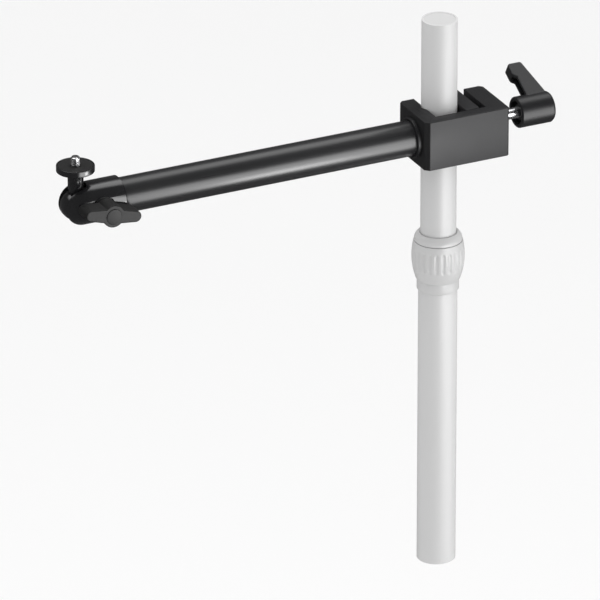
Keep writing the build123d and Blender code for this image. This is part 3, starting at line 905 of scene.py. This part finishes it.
low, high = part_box("platform")
platform_radius = (high[0] - low[0]) / 2
platform_top = (high[2] - clamp_z) / mm
under = (low[2] - clamp_z) / mm
tenon_low = -4.0
tenon_radius = 3.0
shoulder = 9.5
stem_radius = 5.5
flare_start = 18.5
flare = 0.8
flare_steps = 8
stud_root = 2.0
stud_end = 12.0
stem_outline = [(tenon_low, 0), (tenon_low, tenon_radius), (shoulder, tenon_radius)]
stem_outline += [(shoulder, stem_radius - 0.3), (shoulder + 0.4, stem_radius)]
stem_outline += [(flare_start, stem_radius)]
for step in range(1, flare_steps + 1):
    share = step / flare_steps
    stem_outline.append((flare_start + (under - flare_start) * share,
                         stem_radius + flare * share ** 2))
stem_outline += [(under, stud_root), (stud_end, stud_root), (stud_end, 0)]
stem = turned([(a * mm, r * mm) for a, r in stem_outline], ball_centre, (0, 0, 1), steps=96)
turned_stem = finished(stem, "turned_stem", black_gloss)
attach(turned_stem, "platform")
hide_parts("stem")

# ---- Platform, pad and stud ---------------------------------------------------------------------
# A turned aluminium disc with a raised rim, gloss black like the head, and a rubber pad
# glued inside the rim. The 1/4 inch steel stud goes through it and is screwed in the stem.
pad_radius = 12.2
pad_floor = platform_top - 1.2
stud_shank = 2.9
rim_radius = platform_radius / mm
dish = [(under, stud_shank), (under, rim_radius), (platform_top, rim_radius),
        (platform_top, pad_radius), (pad_floor, pad_radius), (pad_floor, stud_shank)]
disc = turned([(a * mm, r * mm) for a, r in dish], ball_centre, (0, 0, 1), steps=128,
              rounding=0.3 * mm)
rimmed_disc = finished(disc, "rimmed_disc", black_gloss)
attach(rimmed_disc, "platform")
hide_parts("platform")


def pad_rubber():
    """Black rubber with a fine, even grain."""
    finish = Finish("pad_rubber", {"Specular IOR Level": 0.25})
    grain = finish.grain((2200, 2200, 2200), 2.0)
    cloud = finish.grain((200, 200, 200), 2.0)
    finish.feed("Base Color", finish.tint(cloud, (0.010, 0.010, 0.010), (0.016, 0.016, 0.016)))
    finish.feed("Roughness", 0.45 + grain * 0.2)
    finish.relief(grain, 0.00005)
    return finish


pad_hole = 3.475
pad_top = platform_top - 0.05
pad_edge = 0.3
pad_outline = [(pad_floor, pad_hole), (pad_floor, pad_radius), (platform_top - pad_edge, pad_radius)]
pad_outline += [(pad_top, pad_radius - pad_edge), (pad_top, pad_hole)]
pad = turned([(a * mm, r * mm) for a, r in pad_outline], ball_centre, (0, 0, 1), steps=128)
round_pad = finished(pad, "round_pad", pad_rubber())
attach(round_pad, "platform")
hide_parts("platform_pad")

low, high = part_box("camera_stud")
stud_radius = (high[0] - low[0]) / 2
steel_upright = turned_steel("steel_upright", (40, 40, 2500))
stud_pitch = 1.27 * mm
thread = threaded((ball_x, arm_y, clamp_z + under * mm), (ball_x, arm_y, high[2]), stud_radius,
                  stud_pitch, (0, 0, 1))
stud_top = high[2] - clamp_z
tip_slope = 0.7 * mm
shank_low = (under - 1) * mm
shank_high = (platform_top + 0.5) * mm
past_stud = 5 * mm
shank_hug = turned(
    [(shank_low, stud_shank * mm), (shank_high, stud_shank * mm), (shank_high, past_stud),
     (shank_low, past_stud)],
    ball_centre, (0, 0, 1), steps=48)
tip_hug = turned(
    [(stud_top - tip_slope, stud_radius), (stud_top + mm, stud_radius - tip_slope - mm),
     (stud_top + mm, past_stud), (stud_top - tip_slope, past_stud)],
    ball_centre, (0, 0, 1), steps=48)
thread = carved(thread, [shank_hug, tip_hug])
rolled_stud = finished(thread, "rolled_stud", steel_upright, sharp=30)
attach(rolled_stud, "platform")
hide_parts("camera_stud")

# ---- Wing knob --------------------------------------------------------------------------------
# Moulded on an M6 screw whose cone wedges the ball's seat: a base disc against the housing,
# a round hub, two wings that taper to round tips, and a cap in its face.


def moulded_black():
    """Black glass-filled nylon with a spark-eroded texture."""
    finish = Finish("moulded_black", {"Specular IOR Level": 0.22})
    grain = finish.grain((2400, 2400, 2400), 2.0)
    cloud = finish.grain((80, 80, 80), 2.0)
    finish.feed("Base Color", finish.tint(cloud, (0.010, 0.010, 0.010), (0.016, 0.016, 0.016)))
    finish.feed("Roughness", 0.42 + grain * 0.16)
    finish.relief(grain, 0.00004)
    return finish


steel_front = turned_steel("steel_front", (40, 2500, 40))
coat("wing_screw", steel_front)
low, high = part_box("wing_knob")
knob_front = (low[1] - arm_y) / mm
knob_back = (high[1] - arm_y) / mm
wing_turn = math.radians(11.4)
wing_half = 21.2
tip = 4.1
root = 5.6
wing_back = -16.4
centre = Vector((knob_x, arm_y, clamp_z))
knob_radius = 8.0
groove_radius = 7.4
groove_front = -15.8
disc_front = -15.0
disc_radius = 8.2
hub = turned(
    [(y * mm, r * mm) for y, r in (
        (knob_front, 0), (knob_front, knob_radius), (groove_front, knob_radius),
        (groove_front, groove_radius), (disc_front, groove_radius), (disc_front, disc_radius),
        (knob_back, disc_radius), (knob_back, 0))],
    (0, 0, 0), (0, 1, 0), rounding=0.4 * mm)
wing_plan = []
tip_steps = 12
for side in (1, -1):
    for step in range(tip_steps + 1):
        turn = math.pi * step / tip_steps - math.pi / 2
        wing_plan.append((side * (wing_half - tip + tip * math.cos(turn)), side * tip * math.sin(turn)))
    wing_plan.append((0.0, side * root))
wings = plate(wing_plan, -wing_back * mm, -knob_front * mm)
soften(wings, 0.9 * mm, angle=60, segments=4)
upright = Matrix(((1, 0, 0, 0), (0, 0, -1, 0), (0, 1, 0, 0), (0, 0, 0, 1)))
bmesh.ops.transform(wings, matrix=Matrix.Rotation(wing_turn, 4, "Y") @ upright, verts=wings.verts)
knob = melded([hub, wings], cast_cell, fillet_rounds)
bmesh.ops.translate(knob, verts=knob.verts, vec=centre)
cap_seat = knob_front + 0.6
cap_room = 5.8
screw_seat = -28.0
wing_screw_radius = 3.0
knob = carved(knob, [
    drilled(centre + Vector((0, start * mm, 0)), centre + Vector((0, end * mm, 0)), radius * mm)
    for start, end, radius in (
        (knob_front - 1, cap_seat, cap_room), (screw_seat, knob_back + 1, wing_screw_radius))])
black_moulding = moulded_black()
winged_knob = finished(knob, "winged_knob", black_moulding)
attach(winged_knob, "wing_knob")
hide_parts("wing_knob")

low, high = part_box("knob_cap")
cap_front = low[1] - arm_y
cap_back = cap_front + 1.0 * mm
cap_radius = 5.6 * mm
button = turned(
    [(cap_back, 0), (cap_back, cap_radius), (cap_front + 0.1 * mm, cap_radius),
     (cap_front, cap_radius - 0.4 * mm), (cap_front, 0)],
    centre, (0, 1, 0), steps=96, rounding=0.12 * mm)
knob_button = finished(button, "knob_button", black_moulding)
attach(knob_button, "wing_knob")
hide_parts("knob_cap")
